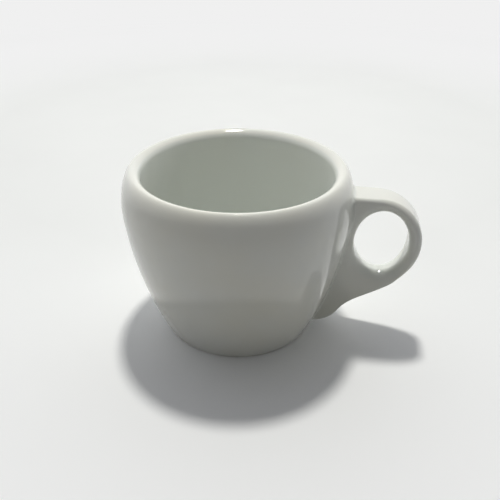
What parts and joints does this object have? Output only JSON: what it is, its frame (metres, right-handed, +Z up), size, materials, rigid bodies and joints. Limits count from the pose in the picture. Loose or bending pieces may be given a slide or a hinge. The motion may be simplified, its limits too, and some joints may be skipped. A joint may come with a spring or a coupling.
{
  "type": "coffee cup",
  "caption": "Thick-walled porcelain cup for small strong coffees, with a rounded lip, a recessed foot and a flat-topped ring handle that is luted to its side.",
  "frame": {"origin": "on the cup's axis, in the plane of the foot ring that the cup stands on", "axes": "+Z up along the cup's axis, +X from the axis towards the handle, +Y to the left when looking along +X"},
  "size_m": [0.0844, 0.065, 0.0498],
  "materials": {
    "cup_body": "clear gloss glaze over white porcelain",
    "ring_handle": "clear gloss glaze over white porcelain",
    "slip_joint": "clear gloss glaze over wiped porcelain slip"
  },
  "bodies": {
    "root": {"cup_body": "cup_body", "ring_handle": "ring_handle", "slip_joint": "slip_joint"}
  },
  "joints": []
}
